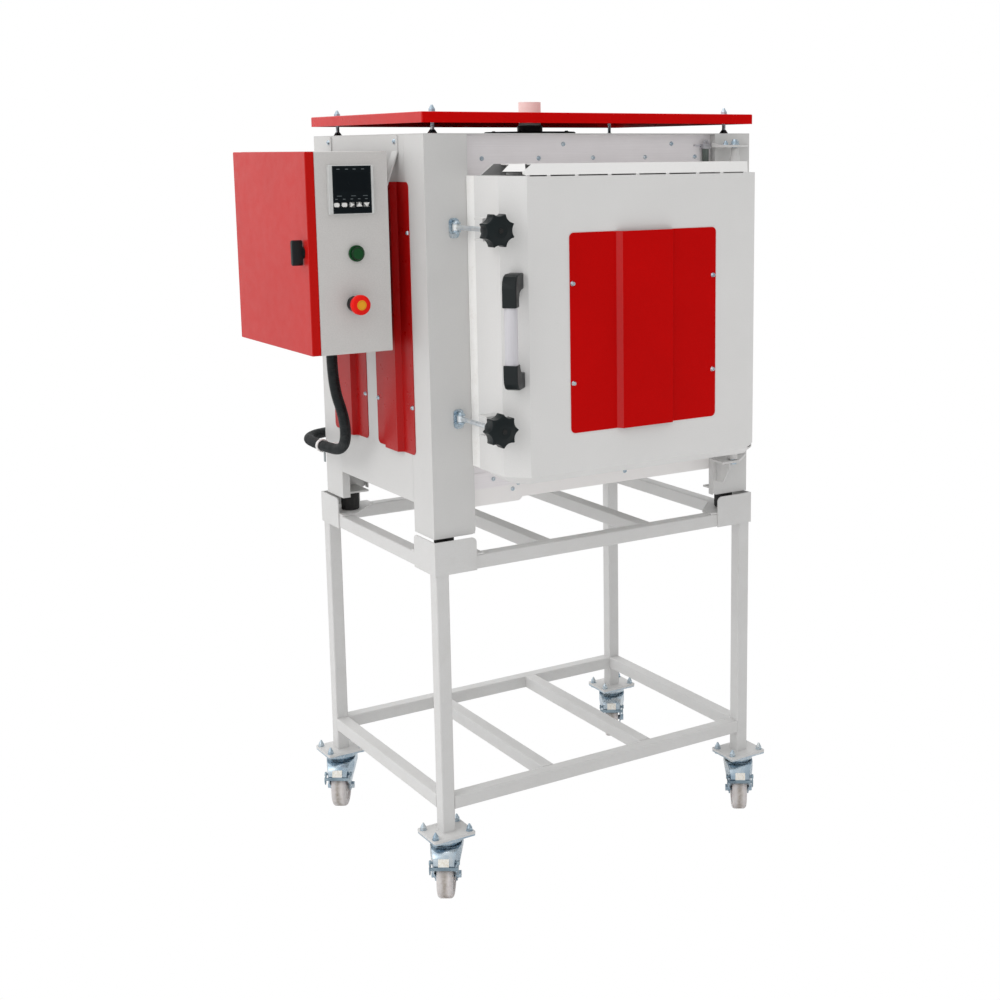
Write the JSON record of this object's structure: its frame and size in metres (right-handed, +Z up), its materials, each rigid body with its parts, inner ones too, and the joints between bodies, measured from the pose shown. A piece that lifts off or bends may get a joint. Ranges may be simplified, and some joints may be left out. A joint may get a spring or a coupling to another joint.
{
  "type": "ceramic kiln",
  "caption": "Front-loading electric ceramic kiln on a castored square-tube stand, with a clamped door, red vented covers and a control cabinet on its left side.",
  "frame": {"origin": "centre of the bounding box on the floor, under the wheels", "axes": "+Z up, the door faces -Y, the control cabinet is on -X"},
  "size_m": [1.0906, 0.857, 1.676],
  "materials": {
    "pearl_paint": "light grey metallic paint, semi-gloss",
    "stand_paint": "light grey metallic paint on square tube",
    "red_enamel": "smooth gloss red coating",
    "cabinet_paint": "fine textured light grey coating",
    "stainless_sheet": "brushed stainless sheet",
    "zinc_plate": "bright zinc plating",
    "wheel_polyamide": "white castor plastic",
    "black_plastic": "matt black plastic",
    "black_steel": "black paint",
    "foot_rubber": "black rubber",
    "fibre_white": "white ceramic fibre",
    "firebrick": "insulating firebrick",
    "shelf_ceramic": "kiln shelf ceramic",
    "element_wire": "oxidised resistance wire",
    "tube_ceramic": "buff ceramic tube",
    "light_plastic": "light grey moulded plastic",
    "black_gloss": "smooth dark front panel",
    "key_white": "white moulded keys",
    "lamp_green": "clear green lens in a metal ring",
    "stop_red": "red moulded plastic",
    "bare_aluminium": "satin aluminium"
  },
  "bodies": {
    "root": {"stand_legs": "stand_paint", "stand_rails": "stand_paint", "stand_plates": "stand_paint", "kiln_feet": "foot_rubber", "castor_mounts": "zinc_plate", "corner_posts": "pearl_paint", "casing_panels": "pearl_paint", "casing_ends": "pearl_paint", "front_plate": "stainless_sheet", "lining_blocks": "firebrick", "hearth_plate": "shelf_ceramic", "heating_elements": "element_wire", "thermocouple": "zinc_plate", "vent_tube": "tube_ceramic", "vent_collar": "black_steel", "top_cover": "red_enamel", "case_fasteners": "zinc_plate", "side_vent_covers": "red_enamel", "conduit": "black_plastic", "conduit_fittings": "black_plastic", "casing_brackets": "pearl_paint", "clamp_brackets": "zinc_plate", "door_switch": "black_plastic", "cabinet_box": "cabinet_paint", "cabinet_internals": "light_plastic", "controller_bezel": "light_plastic", "controller_face": "black_gloss", "signal_lamp": "lamp_green", "stop_button_base": "black_plastic"},
    "castor_fl": {"castor_fork_fl": "zinc_plate"},
    "wheel_fl": {"castor_wheel_fl": "wheel_polyamide"},
    "brake_fl": {"castor_brake_fl": "zinc_plate"},
    "castor_fr": {"castor_fork_fr": "zinc_plate"},
    "wheel_fr": {"castor_wheel_fr": "wheel_polyamide"},
    "brake_fr": {"castor_brake_fr": "zinc_plate"},
    "castor_rl": {"castor_fork_rl": "zinc_plate"},
    "wheel_rl": {"castor_wheel_rl": "wheel_polyamide"},
    "brake_rl": {"castor_brake_rl": "zinc_plate"},
    "castor_rr": {"castor_fork_rr": "zinc_plate"},
    "wheel_rr": {"castor_wheel_rr": "wheel_polyamide"},
    "brake_rr": {"castor_brake_rr": "zinc_plate"},
    "door": {"door_shell": "pearl_paint", "door_insulation": "fibre_white", "door_gasket": "fibre_white", "door_vent_cover": "red_enamel", "door_screws": "zinc_plate", "door_fittings": "pearl_paint", "door_handle": "black_plastic"},
    "swing_bolt_upper": {"swing_bolt_upper": "zinc_plate"},
    "clamp_knob_upper": {"clamp_knob_upper": "black_plastic"},
    "swing_bolt_lower": {"swing_bolt_lower": "zinc_plate"},
    "clamp_knob_lower": {"clamp_knob_lower": "black_plastic"},
    "cabinet_door": {"cabinet_door": "red_enamel"},
    "cabinet_latch": {"cabinet_latch": "black_plastic"},
    "key_1": {"controller_key_1": "key_white"},
    "key_2": {"controller_key_2": "key_white"},
    "key_3": {"controller_key_3": "key_white"},
    "key_4": {"controller_key_4": "key_white"},
    "key_5": {"controller_key_5": "key_white"},
    "stop_button": {"stop_button_head": "stop_red"}
  },
  "joints": [
    {"name": "castor_swivel_fl", "type": "hinge", "parent": "root", "child": "castor_fl", "pos_m": [-0.2929, -0.21599, 0.121], "axis": [0, 0, 1], "continuous": true},
    {"name": "wheel_spin_fl", "type": "hinge", "parent": "castor_fl", "child": "wheel_fl", "pos_m": [-0.30281, -0.23102, 0.05], "axis": [0.8348, -0.5505, 0], "continuous": true},
    {"name": "brake_press_fl", "type": "hinge", "parent": "castor_fl", "child": "brake_fl", "pos_m": [-0.32153, -0.2594, 0.092], "axis": [0.8348, -0.5505, 0], "range_deg": [0, 10]},
    {"name": "castor_swivel_fr", "type": "hinge", "parent": "root", "child": "castor_fr", "pos_m": [0.4963, -0.21599, 0.121], "axis": [0, 0, 1], "continuous": true},
    {"name": "wheel_spin_fr", "type": "hinge", "parent": "castor_fr", "child": "wheel_fr", "pos_m": [0.48639, -0.23102, 0.05], "axis": [0.8348, -0.5505, 0], "continuous": true},
    {"name": "brake_press_fr", "type": "hinge", "parent": "castor_fr", "child": "brake_fr", "pos_m": [0.46768, -0.2594, 0.092], "axis": [0.8348, -0.5505, 0], "range_deg": [0, 10]},
    {"name": "castor_swivel_rl", "type": "hinge", "parent": "root", "child": "castor_rl", "pos_m": [-0.2929, 0.34021, 0.121], "axis": [0, 0, 1], "continuous": true},
    {"name": "wheel_spin_rl", "type": "hinge", "parent": "castor_rl", "child": "wheel_rl", "pos_m": [-0.30281, 0.32518, 0.05], "axis": [0.8348, -0.5505, 0], "continuous": true},
    {"name": "brake_press_rl", "type": "hinge", "parent": "castor_rl", "child": "brake_rl", "pos_m": [-0.32153, 0.2968, 0.092], "axis": [0.8348, -0.5505, 0], "range_deg": [0, 10]},
    {"name": "castor_swivel_rr", "type": "hinge", "parent": "root", "child": "castor_rr", "pos_m": [0.4963, 0.34021, 0.121], "axis": [0, 0, 1], "continuous": true},
    {"name": "wheel_spin_rr", "type": "hinge", "parent": "castor_rr", "child": "wheel_rr", "pos_m": [0.48639, 0.32518, 0.05], "axis": [0.8348, -0.5505, 0], "continuous": true},
    {"name": "brake_press_rr", "type": "hinge", "parent": "castor_rr", "child": "brake_rr", "pos_m": [0.46768, 0.2968, 0.092], "axis": [0.8348, -0.5505, 0], "range_deg": [0, 10]},
    {"name": "door_swing", "type": "hinge", "parent": "root", "child": "door", "pos_m": [0.4397, -0.25769, 1.214], "axis": [0, 0, 1], "range_deg": [0, 120]},
    {"name": "bolt_swing_upper", "type": "hinge", "parent": "root", "child": "swing_bolt_upper", "pos_m": [-0.2433, -0.23369, 1.419], "axis": [0, 0, 1], "range_deg": [-90, 0]},
    {"name": "knob_turn_upper", "type": "hinge", "parent": "swing_bolt_upper", "child": "clamp_knob_upper", "pos_m": [-0.2433, -0.38769, 1.419], "axis": [0, -1, 0], "continuous": true},
    {"name": "bolt_swing_lower", "type": "hinge", "parent": "root", "child": "swing_bolt_lower", "pos_m": [-0.2433, -0.23369, 1.031], "axis": [0, 0, 1], "range_deg": [-90, 0]},
    {"name": "knob_turn_lower", "type": "hinge", "parent": "swing_bolt_lower", "child": "clamp_knob_lower", "pos_m": [-0.2433, -0.38769, 1.031], "axis": [0, -1, 0], "continuous": true},
    {"name": "cabinet_door_swing", "type": "hinge", "parent": "root", "child": "cabinet_door", "pos_m": [-0.5093, 0.26481, 1.37], "axis": [0, 0, 1], "range_deg": [-110, 0]},
    {"name": "latch_turn", "type": "hinge", "parent": "cabinet_door", "child": "cabinet_latch", "pos_m": [-0.5213, -0.11569, 1.374], "axis": [1, 0, 0], "range_deg": [0, 90]},
    {"name": "key_press_1", "type": "slide", "parent": "root", "child": "key_1", "axis": [0, 1, 0], "range_m": [0, 0.0006], "stiffness_N_per_m": 600},
    {"name": "key_press_2", "type": "slide", "parent": "root", "child": "key_2", "axis": [0, 1, 0], "range_m": [0, 0.0006], "stiffness_N_per_m": 600},
    {"name": "key_press_3", "type": "slide", "parent": "root", "child": "key_3", "axis": [0, 1, 0], "range_m": [0, 0.0006], "stiffness_N_per_m": 600},
    {"name": "key_press_4", "type": "slide", "parent": "root", "child": "key_4", "axis": [0, 1, 0], "range_m": [0, 0.0006], "stiffness_N_per_m": 600},
    {"name": "key_press_5", "type": "slide", "parent": "root", "child": "key_5", "axis": [0, 1, 0], "range_m": [0, 0.0006], "stiffness_N_per_m": 600},
    {"name": "stop_press", "type": "slide", "parent": "root", "child": "stop_button", "axis": [0, 1, 0], "range_m": [0, 0.005]}
  ]
}
